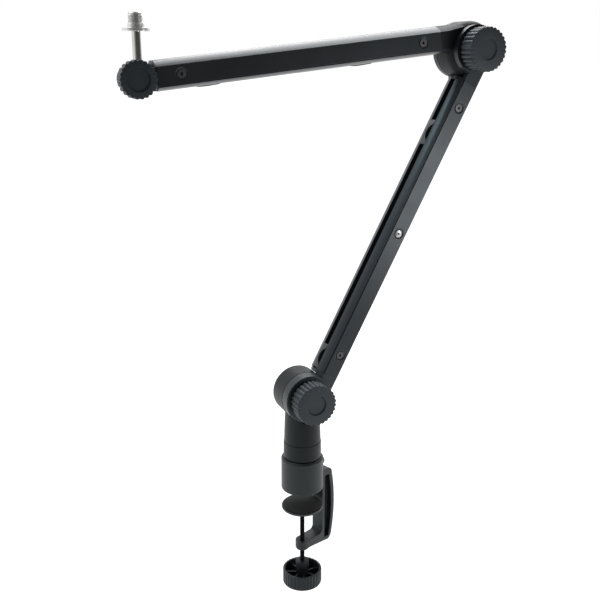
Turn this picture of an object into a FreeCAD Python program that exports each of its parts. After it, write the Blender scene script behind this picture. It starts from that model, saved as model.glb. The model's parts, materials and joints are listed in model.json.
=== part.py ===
import FreeCAD, Part
import math
import os

# Desk-clamped microphone boom arm with two channelled arms, friction hinges and a threaded stud.
# Millimetres and degrees. +Z is up, Z = 0 is the clamp's face on the desk, the post turns about Z,
# and every arm hinge turns about an axis along Y. The knobs are on the front, towards -Y.

# Pose and reach
base_pivot_height = 132.1
lower_arm_length = 479.0
upper_arm_length = 424.5
lower_arm_angle = 61.84
upper_arm_angle = 6.34
bracket_turn = 22.0

# Arm section
arm_width = 35.0
side_height = 20.0
crown_rise = 6.6
lip_rise = 5.8
slot_width = 9.7
slot_depth = 9.8
arm_wall = 2.0
strip_bulge = 0.7
seam_width = 1.4
seam_depth = 1.2
strip_setback = 0.3
lip_over_axis = 0.3

# Base hinge: a ring on the lower arm in front of the post's round head
post_head_radius = 31.4
post_head_front = 6.6
post_head_rear = 23.6
post_head_edge = 3.0
base_ring_radius = 31.2
base_ring_edge = 1.4

# Elbow hinge: a fork on the lower arm round the upper arm's barrel hub
hub_radius = 34.0
hub_rear = 16.8
hub_front = 12.7
hub_front_radius = 29.6
hub_round_start = 3.0
hub_scoop_radius = 44.0
front_ear_radius = 29.4
front_ear_thickness = 8.4
rear_ear_thickness = 8.2
rear_ear_edge = 1.2

# Hardware of both hinges
hub_clearance = 1.2
friction_washer_radius = 24.0
friction_washer_thickness = 0.5
knob_washer_radius = 14.0
knob_washer_thickness = 2.3
hinge_bolt_radius = 4.0
bolt_head_flats = 13.0
bolt_head_height = 5.3

# Arm end fittings
base_shoulder = 37.0
fork_shoulder = 39.5
hub_shoulder = 48.5
neck_length = 10.0
root_drop = 2.4
plug_length = 45.0
plug_gap = 0.2
link_hole_radius = 3.4

# Fine fits
running_clearance = 0.05
seat_clearance = 0.02
face_gap = 0.1

# Large hinge knobs
knob_radius = 26.6
knob_thickness = 19.7
knob_flutes = 28
flute_depth = 1.1
knob_edge = 1.2
knob_recess_radius = 12.7
knob_recess_depth = 2.0
insert_radius = 7.0
insert_length = 12.0

# Microphone hinge
mic_shoulder = 22.5
mic_end_wall = 1.2
mic_end_inset = 0.8
tongue_radius = 14.5
tongue_thickness = 10.0
mic_head_radius = 15.0
mic_head_thickness = 12.2
mic_hinge_plane = 1.5
mic_knob_radius = 20.2
mic_knob_thickness = 14.0
mic_knob_flutes = 22
mic_flute_depth = 1.3
mic_bolt_radius = 3.0
mic_bolt_head_flats = 10.0
mic_bolt_head_height = 3.6
mic_washer_radius = 13.0
mic_knob_washer_radius = 9.0
mic_insert_radius = 5.5
mic_insert_length = 9.0

# Microphone stud, lock ring and thread adapter
stud_offset = 5.0
stud_radius = 4.7625
stud_boss_radius = 6.0
stud_boss_top = 19.5
stud_foot = 8.0
stud_top = 64.0
lock_ring_radius = 14.5
lock_ring_bottom = 48.0
lock_ring_thickness = 3.4
adapter_collar_radius = 8.8
adapter_collar_height = 4.4
adapter_thread_radius = 7.9375
adapter_thread_height = 11.1
adapter_slot_width = 2.0
adapter_slot_depth = 2.5

# Tube screws, spring anchor and cable clips
base_screw_distance = 66.0
fork_screw_distance = 71.0
hub_screw_distance = 74.0
mic_screw_distance = 49.0
screw_recess_radius = 6.8
screw_recess_depth = 1.0
screw_head_radius = 4.9
screw_head_height = 0.7
screw_shank_radius = 2.0
screw_length = 10.0
screw_socket_flats = 3.0
anchor_off_middle = 3.5
anchor_pin_radius = 2.5
anchor_head_dome = 0.7
spring_length = 95.0
spring_radius = 7.5
spring_wall = 2.2
spring_end = 1.6
spring_clear = 14.0
eye_thickness = 2.0
eye_gap = 0.4
eye_wall = 1.3
link_radius = 2.5
link_setback = 1.5
clip_length = 33.0
clip_leg = 1.2
clip_plate = 1.6
clip_stand_out = 1.5
clip_arch = 1.8
clip_notch_length = 22.0
clip_notch_depth = 6.0
clip_gap = 0.05
lower_clip_from_base = 55.0
lower_clip_from_elbow = 112.0
upper_clip_from_elbow = 153.0
upper_clip_from_mic = 81.0

# Swivel post
neck_base_radius = 23.8
neck_head_radius = 21.7
post_seam_height = 68.0
post_seam_gap = 0.3
sleeve_foot_radius = 24.5
sleeve_head_radius = 24.3
sleeve_edge = 0.8
spigot_radius = 10.0
spigot_foot = 9.0
spigot_top = 84.0

# Clamp frame
collar_radius = 27.5
collar_height = 46.0
collar_edge = 2.0
jaw_pad_radius = 25.0
jaw_pad_thickness = 2.0
jaw_pad_stand_out = 0.6
socket_floor = 7.0
liner_wall = 2.5
liner_flange_radius = 20.0
liner_flange_thickness = 1.6
sleeve_gap = 0.3
bracket_width = 18.2
bracket_top = 17.0
bracket_top_fall = 2.5
bracket_shoulder = 8.0
spine_inner = 30.0
spine_depth = 19.2
spine_bulge = 5.0
spine_corner = 7.0
bar_height = 11.8
bar_top = -78.0
bar_droop = 3.5
bar_corner = 7.0
bar_corner_height = 9.0
throat_fillet = 5.0
outer_flange = 6.0
inner_flange = 5.0
web_thickness = 3.0
lug_radius = 6.0
lug_reach = 37.5
lug_drop = 19.5
retaining_screw_radius = 2.5
bush_radius = 6.0
bush_flange_radius = 8.0
bush_flange_thickness = 1.2

# Clamp screw, pad and knob
screw_radius = 3.0
screw_tip_radius = 2.4
screw_tip_length = 6.0
pad_radius = 27.3
pad_bottom = -29.5
pad_thickness = 3.9
pad_rim = 1.5
pad_rubber_thickness = 1.4
pad_hub_radius = 8.0
pad_hub_height = 8.0
clamp_knob_radius = 26.1
clamp_knob_top = -122.0
clamp_knob_height = 20.0
clamp_knob_flutes = 32
clamp_flute_depth = 0.9
clamp_knob_wall = 3.0
clamp_knob_floor = 2.5
clamp_knob_hub_radius = 8.8
clamp_knob_hub_rise = 12.0
clamp_knob_spokes = 7
spoke_thickness = 2.0
spoke_drop = 6.0

# Values worked out from the sizes above
half_width = arm_width / 2
half_side = side_height / 2
crown = half_side + crown_rise
lip = half_side + lip_rise
half_slot = slot_width / 2
slot_floor = lip - slot_depth
cavity_top = slot_floor - arm_wall
arm_offset = lip - lip_over_axis
bevel = half_width - half_slot
front_ear_inner = hub_front + face_gap + friction_washer_thickness
front_ear_outer = front_ear_inner + front_ear_thickness
rear_ear_inner = hub_rear + face_gap + friction_washer_thickness
rear_ear_outer = rear_ear_inner + rear_ear_thickness
ring_inner = post_head_front + face_gap + friction_washer_thickness
knob_back = front_ear_outer + knob_washer_thickness + face_gap
spring_axis = (cavity_top + arm_wall - crown) / 2
anchor_distance = lower_arm_length / 2 - anchor_off_middle
bar_boss_radius = bracket_width / 2
lug_height = collar_height - lug_drop
screw_seat = half_width - screw_recess_depth
bar_bottom = bar_top - bar_height
big = 1000.0

UP = FreeCAD.Vector(0, 0, 1)
RIGHT = FreeCAD.Vector(1, 0, 0)
BACK = FreeCAD.Vector(0, 1, 0)
ORIGIN = FreeCAD.Vector(0, 0, 0)


def rod_y(radius, y_from, y_to, x=0.0, z=0.0):
    """Cylinder along Y."""
    return Part.makeCylinder(radius, y_to - y_from, FreeCAD.Vector(x, y_from, z), BACK)


def ring_y(outer, inner, y_from, y_to, x=0.0, z=0.0):
    """Flat ring whose axis is along Y."""
    return rod_y(outer, y_from, y_to, x, z).cut(rod_y(inner, y_from, y_to, x, z))


def rod_z(radius, z_from, z_to, x=0.0, y=0.0):
    """Cylinder along Z."""
    return Part.makeCylinder(radius, z_to - z_from, FreeCAD.Vector(x, y, z_from), UP)


def rod_x(radius, x_from, x_to, z=0.0):
    """Cylinder along X."""
    return Part.makeCylinder(radius, x_to - x_from, FreeCAD.Vector(x_from, 0, z), RIGHT)


def block(x_range, y_range, z_range):
    """Box between three pairs of limits."""
    size = [high - low for low, high in (x_range, y_range, z_range)]
    return Part.makeBox(*size, FreeCAD.Vector(x_range[0], y_range[0], z_range[0]))


def hexagon_y(flats, y_from, y_to):
    """Hexagonal bar along Y, by its width across flats."""
    corner = flats / math.sqrt(3)
    turns = [math.radians(60 * k) for k in range(7)]
    points = [FreeCAD.Vector(corner * math.cos(t), y_from, corner * math.sin(t)) for t in turns]
    return Part.Face(Part.makePolygon(points)).extrude(FreeCAD.Vector(0, y_to - y_from, 0))


def turned_z(profile):
    """Solid turned about Z from (radius, height) corners."""
    points = [FreeCAD.Vector(radius, 0, height) for radius, height in profile]
    return Part.Face(Part.makePolygon(points + points[:1])).revolve(ORIGIN, UP, 360)


def turned_y(profile):
    """Solid turned about Y from (radius, y) corners."""
    points = [FreeCAD.Vector(radius, y, 0) for radius, y in profile]
    return Part.Face(Part.makePolygon(points + points[:1])).revolve(ORIGIN, BACK, 360)


def rounded_rod_y(radius, y_from, y_to, edge, round_front):
    """Cylinder along Y with one end's edge rounded."""
    rod = rod_y(radius, y_from, y_to)
    end = y_from if round_front else y_to
    rims = []
    for rim in rod.Edges:
        if abs(rim.BoundBox.YMin - end) + abs(rim.BoundBox.YMax - end) < edge / 10:
            rims.append(rim)
    return rod.makeFillet(edge, rims)


def section_polygon(points, x):
    """Closed polygon across an arm at the distance x, from (y, z) corners about the arm's axis."""
    corners = [FreeCAD.Vector(x, y, z) for y, z in points]
    return Part.makePolygon(corners + corners[:1])


def bulged(start, end, bulge):
    """Edge that bows outwards, to the right of its direction in the (y, z) plane."""
    run_y = end.y - start.y
    run_z = end.z - start.z
    length = math.hypot(run_y, run_z)
    outwards = FreeCAD.Vector(0, run_z / length, -run_y / length)
    middle = (start + end) * 0.5 + outwards * bulge
    return Part.Arc(start, middle, end).toShape()


def placed(shape, placement):
    """Copy of a shape, moved to its place on the object."""
    copy = shape.copy()
    copy.transformShape(placement.toMatrix(), True)
    return copy


def shifted(shape, x=0.0, y=0.0, z=0.0):
    """Copy of a shape, moved along the axes."""
    return placed(shape, FreeCAD.Placement(FreeCAD.Vector(x, y, z), FreeCAD.Rotation()))


def reversed_end(shape, length):
    """Mirrors an end fitting, drawn with its pivot at the origin, onto the far end of an arm."""
    return shifted(shape.mirror(ORIGIN, RIGHT), x=length)


def group(solids):
    """Identical loose pieces kept as one node."""
    return Part.makeCompound(solids)


# Arm tubes


def tube_outline():
    """Outer face of the arm section, slot upwards, centred on the arm's axis at x = 0."""
    groove = half_width - seam_depth
    strip_side = half_width - strip_setback
    strip_low = half_side + seam_width

    def corner(y, z):
        return FreeCAD.Vector(0, y, z)

    def line(start, end):
        return Part.LineSegment(corner(*start), corner(*end)).toShape()

    def bow(start, end):
        return bulged(corner(*start), corner(*end), strip_bulge)

    edges = [
        bow((-half_width, -half_side), (-half_slot, -crown)),
        line((-half_slot, -crown), (half_slot, -crown)),
        bow((half_slot, -crown), (half_width, -half_side)),
        line((half_width, -half_side), (half_width, half_side)),
        line((half_width, half_side), (groove, half_side)),
        line((groove, half_side), (groove, strip_low)),
        line((groove, strip_low), (strip_side, strip_low)),
        bow((strip_side, strip_low), (half_slot, lip)),
        line((half_slot, lip), (half_slot, slot_floor)),
        line((half_slot, slot_floor), (-half_slot, slot_floor)),
        line((-half_slot, slot_floor), (-half_slot, lip)),
        bow((-half_slot, lip), (-strip_side, strip_low)),
        line((-strip_side, strip_low), (-groove, strip_low)),
        line((-groove, strip_low), (-groove, half_side)),
        line((-groove, half_side), (-half_width, half_side)),
        line((-half_width, half_side), (-half_width, -half_side)),
    ]
    return Part.Face(Part.Wire(edges))


def cavity_points(wall):
    """Corners of the main hollow under the slot, at a given wall from the outside."""
    side = half_width - wall
    top = cavity_top - (wall - arm_wall)
    low = -crown + wall
    foot = [(-side, -half_side), (-half_slot, low), (half_slot, low), (side, -half_side)]
    return foot + [(side, top), (-side, top)]


def pocket_points(side):
    """Corners of the lightening pocket beside the slot."""
    inner = half_slot + arm_wall
    outer = half_width - arm_wall - seam_depth
    top = lip - arm_wall - strip_bulge
    points = [(inner, slot_floor), (outer, slot_floor), (outer, half_side - seam_width), (inner, top)]
    return [(side * y, z) for y, z in points]


def arm_tube(x_from, x_to, screw_places, pin_place=None):
    """Channelled tube between two distances along the arm, drilled for its screws."""
    face = tube_outline()
    for points in (cavity_points(arm_wall), pocket_points(1), pocket_points(-1)):
        face = face.cut(Part.Face(section_polygon(points, 0)))
    tube = shifted(face.extrude(FreeCAD.Vector(x_to - x_from, 0, 0)), x=x_from)
    drills = []
    for x in screw_places:
        drills.append(rod_y(screw_shank_radius + face_gap, -half_width, half_width, x))
        drills.append(screw_recess(x))
        drills.append(screw_recess(x).mirror(ORIGIN, BACK))
    if pin_place:
        drills.append(rod_y(anchor_pin_radius + seat_clearance, -half_width, half_width, pin_place))
        drills.append(screw_recess(pin_place))
    return shifted(tube.cut(drills), z=-arm_offset)


def screw_recess(x):
    """Countersunk seat for a screw head in the front of an arm."""
    seat = turned_y([
        (0, -half_width),
        (screw_recess_radius, -half_width),
        (screw_head_radius + face_gap, -screw_seat + face_gap),
        (0, -screw_seat + face_gap),
    ])
    return shifted(seat, x=x)


def tube_screws(screw_places):
    """Socket screws on both sides of an arm tube, with heads just below its faces."""
    screws = []
    head_in = screw_seat - face_gap
    head_out = head_in + screw_head_height
    for x in screw_places:
        shank = rod_y(screw_shank_radius, head_in - screw_length, head_in)
        head = rod_y(screw_head_radius, head_in, head_out)
        socket = hexagon_y(screw_socket_flats, head_in, head_out)
        screw = shank.fuse(head).removeSplitter().cut(socket)
        screws.append(shifted(screw, x=x))
        screws.append(shifted(screw.mirror(ORIGIN, BACK), x=x))
    return shifted(group(screws), z=-arm_offset)


def cable_clips(places):
    """Moulded clips that stand on the channel floor, each with a half-oval way in for a cable."""
    reach = half_slot - clip_gap
    top = lip + clip_stand_out
    notch_radius = (clip_notch_length ** 2 / 4 + clip_notch_depth ** 2) / (2 * clip_notch_depth)
    notch_centre = -reach - notch_radius + clip_notch_depth
    along = (-clip_length / 2, clip_length / 2)
    arch_radius = (clip_length ** 2 / 4 + clip_arch ** 2) / (2 * clip_arch)
    body = block(along, (-reach, reach), (slot_floor, top))
    body = body.common(rod_y(arch_radius, -reach, reach, 0, top - arch_radius))
    way_half = reach - clip_leg
    body = body.cut(block(along, (-way_half, way_half), (slot_floor, top - clip_plate - clip_arch)))
    body = body.cut(rod_z(notch_radius, slot_floor, top, 0, notch_centre))
    return shifted(group([shifted(solid, x=x) for x in places for solid in body.Solids]), z=-arm_offset)


# Arm end fittings


def octagon(x, y_from, y_to):
    """Bevelled outline of a fitting across the arm, between two widths."""
    points = [
        (y_from, -half_side),
        (y_from + bevel, -crown),
        (y_to - bevel, -crown),
        (y_to, -half_side),
        (y_to, half_side),
        (y_to - bevel, lip),
        (y_from + bevel, lip),
        (y_from, half_side),
    ]
    return section_polygon(points, x)


def plug(x_from, screw_place, link_hole):
    """Spigot that fills the tube's hollow and takes the two screws."""
    points = cavity_points(arm_wall + plug_gap)
    body = Part.Face(section_polygon(points, x_from)).extrude(FreeCAD.Vector(plug_length, 0, 0))
    tapped = screw_shank_radius + seat_clearance
    body = body.cut(rod_y(tapped, -half_width, half_width, screw_place))
    if link_hole:
        body = body.cut(rod_x(link_hole_radius, x_from, x_from + plug_length, spring_axis))
    return body


def slot_cut(x_from, x_to):
    """Way for the cable through a fitting, in line with the tube's channel."""
    return block((x_from, x_to), (-half_slot, half_slot), (slot_floor, lip + big))


def arm_end(shoulder, screw_place, rear):
    """Body at an end of the lower arm with its plug, slanting out from the tube to the rear ear."""
    neck_start = shoulder - neck_length
    slant = rear - half_width
    wide = Part.Face(octagon(0, -half_width, rear))
    root = wide.extrude(FreeCAD.Vector(neck_start, 0, 0))
    end = Part.Face(octagon(shoulder, -half_width - slant, half_width))
    neck = end.extrude(FreeCAD.Vector(-neck_length, slant, 0))
    neck = neck.common(wide.extrude(FreeCAD.Vector(shoulder, 0, 0)))
    body = root.fuse([neck, plug(shoulder, screw_place, True)]).removeSplitter()
    corners = [(0, -crown), (neck_start, -crown), (0, root_drop - crown), (0, -crown)]
    wedge = Part.Face(Part.makePolygon([FreeCAD.Vector(x, -half_width, z) for x, z in corners]))
    body = body.cut(wedge.extrude(FreeCAD.Vector(0, half_width + rear, 0)))
    body = body.cut(rod_x(link_hole_radius, 0, shoulder, spring_axis))
    return shifted(body, z=-arm_offset)


def elbow_fork():
    """Upper end of the lower arm: a small ear in front and a large one behind."""
    front_ear = rod_y(front_ear_radius, -front_ear_outer, -front_ear_inner)
    rear_ear = rounded_rod_y(hub_radius, rear_ear_inner, rear_ear_outer, rear_ear_edge, False)
    body = arm_end(fork_shoulder, fork_screw_distance, rear_ear_outer)
    body = body.fuse([front_ear, rear_ear]).removeSplitter()
    return body.cut([
        rod_y(hub_radius + hub_clearance, -front_ear_inner, rear_ear_inner),
        rod_y(hinge_bolt_radius + seat_clearance, -front_ear_outer, rear_ear_outer),
        bolt_pocket(rear_ear_outer),
    ])


def base_fitting():
    """Lower end of the lower arm: a thick ring that laps over the front of the post's head."""
    ring = rounded_rod_y(base_ring_radius, -front_ear_outer, -ring_inner, base_ring_edge, True)
    body = arm_end(base_shoulder, base_screw_distance, half_width).fuse(ring).removeSplitter()
    return body.cut([
        rod_y(post_head_radius + hub_clearance, -ring_inner, half_width),
        rod_y(hinge_bolt_radius + running_clearance, -front_ear_outer, -ring_inner),
    ])


def bolt_pocket(rear):
    """Hexagonal seat for the head of a hinge bolt, open at the back."""
    return hexagon_y(bolt_head_flats + 2 * face_gap, rear - bolt_head_height - face_gap, rear)


def hub_fitting():
    """Root and round hub of the upper arm, which turns between the ears of the elbow fork."""
    root = Part.Face(octagon(0, -half_width, half_width)).extrude(FreeCAD.Vector(hub_shoulder, 0, 0))
    root = root.cut(slot_cut(hub_radius, hub_shoulder))
    stem = shifted(root.fuse(plug(hub_shoulder, hub_screw_distance, False)), z=-arm_offset)
    scoop = turned_y([
        (0, -hub_front),
        (front_ear_radius + hub_clearance, -hub_front),
        (hub_scoop_radius, -half_width),
        (0, -half_width),
    ])
    stem = stem.cut([scoop, rod_y(hub_radius + hub_clearance, hub_rear, half_width)])
    body = stem.fuse(barrel()).removeSplitter()
    return body.cut(rod_y(hinge_bolt_radius + running_clearance, -hub_front, hub_rear))


def barrel():
    """Bowed hub, narrower in front, where the smaller ear of the fork lies on it."""
    fall = hub_radius - hub_front_radius
    run = hub_front - hub_round_start
    round_radius = (run ** 2 + fall ** 2) / (2 * fall)
    half_angle = math.asin(run / round_radius) / 2
    round_start = FreeCAD.Vector(hub_radius, -hub_round_start, 0)
    inwards = round_radius * (1 - math.cos(half_angle))
    forwards = round_radius * math.sin(half_angle)
    front_rim = FreeCAD.Vector(hub_front_radius, -hub_front, 0)
    outline = [Part.Arc(front_rim, round_start - FreeCAD.Vector(inwards, forwards, 0), round_start).toShape()]
    rear_rim = FreeCAD.Vector(hub_radius, hub_rear, 0)
    rear_centre = FreeCAD.Vector(0, hub_rear, 0)
    front_centre = FreeCAD.Vector(0, -hub_front, 0)
    outline += Part.makePolygon([round_start, rear_rim, rear_centre, front_centre, front_rim]).Edges
    return Part.Face(Part.Wire(outline)).revolve(ORIGIN, BACK, 360)


def mic_fitting():
    """End of the upper arm: a thin end plate, a plug and a round tongue at the back for the tilt hinge."""
    plate_start = mic_shoulder - mic_end_wall
    back = mic_hinge_plane + tongue_thickness
    side = half_width - mic_end_inset
    plate = Part.Face(octagon(plate_start, -side, side)).extrude(FreeCAD.Vector(mic_end_wall, 0, 0))
    plate = plate.cut(slot_cut(plate_start, mic_shoulder))
    half_stem = half_side + lip_rise / 2
    stem = block((0, mic_shoulder), (mic_hinge_plane, back), (-half_stem, half_stem))
    tongue = rod_y(tongue_radius, mic_hinge_plane, back)
    body = plate.fuse([stem, tongue, plug(mic_shoulder, mic_screw_distance, False)]).removeSplitter()
    body = body.cut(rod_y(mic_bolt_radius + seat_clearance, mic_hinge_plane, back))
    head_room = mic_bolt_head_flats + 2 * face_gap
    return body.cut(hexagon_y(head_room, back - mic_bolt_head_height - face_gap, back))


# Hinge hardware


def hinge_bolt(radius, flats, head_height, head_out, y_end):
    """Hexagon-head bolt along Y, head sunk at the back, end inside the knob in front."""
    head = hexagon_y(flats, head_out - head_height, head_out)
    return head.fuse(rod_y(radius, y_end, head_out - head_height)).removeSplitter()


def scalloped_outline(radius, depth, count):
    """Round outline of convex scallops with narrow valleys between them, in the plane Z = 0."""
    step = 2 * math.pi / count

    def spot(distance, angle):
        return FreeCAD.Vector(distance * math.cos(angle), distance * math.sin(angle), 0)

    edges = []
    for k in range(count):
        start = spot(radius - depth, k * step)
        top = spot(radius, (k + 0.5) * step)
        end = spot(radius - depth, (k + 1) * step)
        edges.append(Part.Arc(start, top, end).toShape())
    return Part.Wire(edges)


def knob_blank(radius, depth, count, height):
    """Scalloped knob standing on Z = 0, turned off at the top edge."""
    grip = Part.Face(scalloped_outline(radius, depth, count)).extrude(FreeCAD.Vector(0, 0, height))
    turning = turned_z([
        (0, 0),
        (radius + knob_edge, 0),
        (radius + knob_edge, height - 2 * knob_edge),
        (radius - knob_edge, height),
        (0, height),
    ])
    return grip.common(turning)


def hinge_knob(radius, depth, count, thickness, back, hole_radius, hole_depth):
    """Hand knob on the front of a hinge, with a round recess in its face and a blind hole behind."""
    body = knob_blank(radius, depth, count, thickness)
    recess = turned_z([
        (0, thickness - knob_recess_depth),
        (knob_recess_radius - knob_recess_depth / 2, thickness - knob_recess_depth),
        (knob_recess_radius, thickness),
        (0, thickness),
    ])
    body = body.cut(recess).cut(rod_z(hole_radius + seat_clearance, 0, hole_depth))
    forwards = FreeCAD.Rotation(RIGHT, 90)
    return placed(body, FreeCAD.Placement(FreeCAD.Vector(0, -back, 0), forwards))


def knob_insert(radius, bolt_radius, length, back):
    """Brass nut moulded into the back of a knob."""
    return ring_y(radius, bolt_radius + running_clearance, -back - length, -back)


# Clamp


def bracket():
    """C-shaped bracket with a bowed spine, flanged edges and a thin web, drawn along +X."""
    spine_outer = spine_inner + spine_depth
    spine_foot = bar_bottom - bar_droop + bar_corner_height
    middle = (bracket_shoulder + spine_foot) / 2

    def point(x, z):
        return FreeCAD.Vector(x, -bracket_width / 2, z)

    def bow(inset, top, foot):
        start = point(spine_outer - inset, top)
        end = point(spine_outer - inset, foot)
        return Part.Arc(start, point(spine_outer + spine_bulge - inset, middle), end).toShape()

    def round_off(start, end, bulge):
        along = end - start
        outwards = FreeCAD.Vector(-along.z, 0, along.x) * (bulge / along.Length)
        return Part.Arc(start, (start + end) * 0.5 + outwards, end).toShape()

    top_end = point(spine_outer - spine_corner, bracket_top - bracket_top_fall)
    foot_end = point(spine_outer - bar_corner, bar_bottom - bar_droop)
    fillet_low = point(spine_inner - throat_fillet, bar_top)
    fillet_high = point(spine_inner, bar_top + throat_fillet)
    edges = [
        round_off(top_end, point(spine_outer, bracket_shoulder), spine_corner / 4),
        bow(0, bracket_shoulder, spine_foot),
        round_off(point(spine_outer, spine_foot), foot_end, bar_corner / 4),
        Part.makeLine(foot_end, point(bar_boss_radius, bar_bottom)),
        Part.makeLine(point(bar_boss_radius, bar_bottom), point(0, bar_bottom)),
        Part.makeLine(point(0, bar_bottom), point(0, bar_top)),
        Part.makeLine(point(0, bar_top), fillet_low),
        round_off(fillet_low, fillet_high, -throat_fillet / 5),
        Part.makeLine(fillet_high, point(spine_inner, jaw_pad_stand_out)),
        Part.makeLine(point(spine_inner, jaw_pad_stand_out), point(bar_boss_radius, jaw_pad_stand_out)),
        Part.makeLine(point(bar_boss_radius, jaw_pad_stand_out), point(bar_boss_radius, bracket_top)),
        Part.makeLine(point(bar_boss_radius, bracket_top), top_end),
    ]
    body = Part.Face(Part.Wire(edges)).extrude(FreeCAD.Vector(0, bracket_width, 0))
    pocket_top = bracket_shoulder - inner_flange / 2
    pocket_foot = bar_bottom - bar_droop + outer_flange
    pocket_bow = bow(outer_flange, pocket_top, pocket_foot)
    pocket_inner = spine_inner + inner_flange
    pocket_corners = [
        point(spine_outer - outer_flange, pocket_foot),
        point(pocket_inner, pocket_foot),
        point(pocket_inner, pocket_top),
        point(spine_outer - outer_flange, pocket_top),
    ]
    pocket = Part.Face(Part.Wire([pocket_bow] + Part.makePolygon(pocket_corners).Edges))
    pocket_depth = (bracket_width - web_thickness) / 2
    near = pocket.extrude(FreeCAD.Vector(0, pocket_depth, 0))
    far = shifted(near, y=bracket_width - pocket_depth)
    return body.cut([near, far]).fuse(rod_z(bar_boss_radius, bar_bottom, bar_top)).removeSplitter()


def socket_radius():
    """Bore of the socket, which holds the liner round the spigot."""
    return spigot_radius + running_clearance + liner_wall


def clamp_frame():
    """Socket collar and bracket, one casting."""
    collar = turned_z([
        (0, jaw_pad_stand_out),
        (collar_radius - collar_edge / 2, jaw_pad_stand_out),
        (collar_radius, jaw_pad_stand_out + collar_edge / 2),
        (collar_radius, collar_height - collar_edge),
        (collar_radius - collar_edge, collar_height),
        (0, collar_height),
    ])
    lug = rod_x(lug_radius, 0, lug_reach, lug_height)
    body = collar.fuse([bracket(), lug]).removeSplitter()
    bush_seat = bush_radius + seat_clearance
    body = body.cut([
        rod_z(jaw_pad_radius + face_gap, jaw_pad_stand_out, jaw_pad_thickness),
        rod_z(socket_radius() + seat_clearance, socket_floor, collar_height),
        rod_z(liner_flange_radius + face_gap, collar_height - liner_flange_thickness, collar_height),
        rod_x(retaining_screw_radius + seat_clearance, 0, lug_reach, lug_height),
        rod_z(bush_seat, bar_bottom, bar_top),
    ])
    return turned(body)


def turned(shape):
    """Swings a clamp piece round to the side where the bracket stands."""
    return placed(shape, FreeCAD.Placement(ORIGIN, FreeCAD.Rotation(UP, bracket_turn)))


def socket_liner():
    """Flanged nylon bush in the socket, in which the post turns."""
    outer = socket_radius()
    bore = spigot_radius + running_clearance
    flange = rod_z(liner_flange_radius, collar_height - liner_flange_thickness, collar_height)
    tube = rod_z(outer, socket_floor, collar_height).fuse(flange).removeSplitter()
    return tube.cut(rod_z(bore, socket_floor, collar_height))


def retaining_screw():
    """Set screw in the collar's lug, which stops the liner from turning."""
    start = socket_radius() + 2 * face_gap
    body = rod_x(retaining_screw_radius, start, lug_reach, lug_height)
    socket = hexagon_y(retaining_screw_radius, 0, retaining_screw_radius)
    quarter = FreeCAD.Rotation(UP, 90)
    socket = placed(socket, FreeCAD.Placement(FreeCAD.Vector(lug_reach, 0, lug_height), quarter))
    return turned(body.cut(socket))


def screw_bush():
    """Flanged threaded bush for the clamp screw, pushed up into the lower bar."""
    flange_bottom = bar_bottom - bush_flange_thickness
    body = rod_z(bush_radius, bar_bottom, bar_top).fuse(rod_z(bush_flange_radius, flange_bottom, bar_bottom))
    return body.removeSplitter().cut(rod_z(screw_radius + running_clearance, flange_bottom, bar_top))


def clamp_screw():
    """Spindle from the pad's hub down through the bush into the clamp knob."""
    shoulder = pad_bottom - pad_hub_height - face_gap
    foot = clamp_knob_top - clamp_knob_height + clamp_knob_floor
    body = rod_z(screw_radius, foot, shoulder)
    return body.fuse(rod_z(screw_tip_radius, shoulder, shoulder + screw_tip_length)).removeSplitter()


def pressure_pad():
    """Thin round plate with a raised rim and a hub that turns on the screw's tip."""
    top = pad_bottom + pad_thickness
    hub_bottom = pad_bottom - pad_hub_height
    body = turned_z([
        (0, hub_bottom),
        (pad_hub_radius, hub_bottom),
        (pad_hub_radius + pad_rim, pad_bottom),
        (pad_radius - pad_rim, pad_bottom),
        (pad_radius, pad_bottom + pad_rim),
        (pad_radius, top),
        (0, top),
    ])
    hole_end = hub_bottom + screw_tip_length + face_gap
    return body.cut(rod_z(screw_tip_radius + running_clearance, hub_bottom, hole_end))


def pad_rubber():
    """Soft facing on the pressure pad."""
    low = pad_bottom + pad_thickness
    return rod_z(pad_radius - pad_rim, low, low + pad_rubber_thickness)


def clamp_knob():
    """Cup-shaped knob with a ribbed rim, spokes and a tall hub."""
    foot = clamp_knob_top - clamp_knob_height
    blank = knob_blank(clamp_knob_radius, clamp_flute_depth, clamp_knob_flutes, clamp_knob_height)
    upside_down = FreeCAD.Rotation(RIGHT, 180)
    blank = placed(blank, FreeCAD.Placement(FreeCAD.Vector(0, 0, clamp_knob_top), upside_down))
    inner = clamp_knob_radius - clamp_knob_wall
    body = blank.cut(rod_z(inner, foot + clamp_knob_floor, clamp_knob_top))
    hub_top = clamp_knob_top + clamp_knob_hub_rise
    pieces = [rod_z(clamp_knob_hub_radius, foot + clamp_knob_floor, hub_top)]
    for k in range(clamp_knob_spokes):
        spoke = block(
            (0, inner + clamp_knob_wall / 2),
            (-spoke_thickness / 2, spoke_thickness / 2),
            (foot + clamp_knob_floor, clamp_knob_top - spoke_drop),
        )
        turn = FreeCAD.Rotation(UP, 360 * k / clamp_knob_spokes)
        pieces.append(placed(spoke, FreeCAD.Placement(ORIGIN, turn)))
    body = body.fuse(pieces).removeSplitter()
    return body.cut(rod_z(screw_radius + seat_clearance, foot + clamp_knob_floor, hub_top))


# Swivel post


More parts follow.
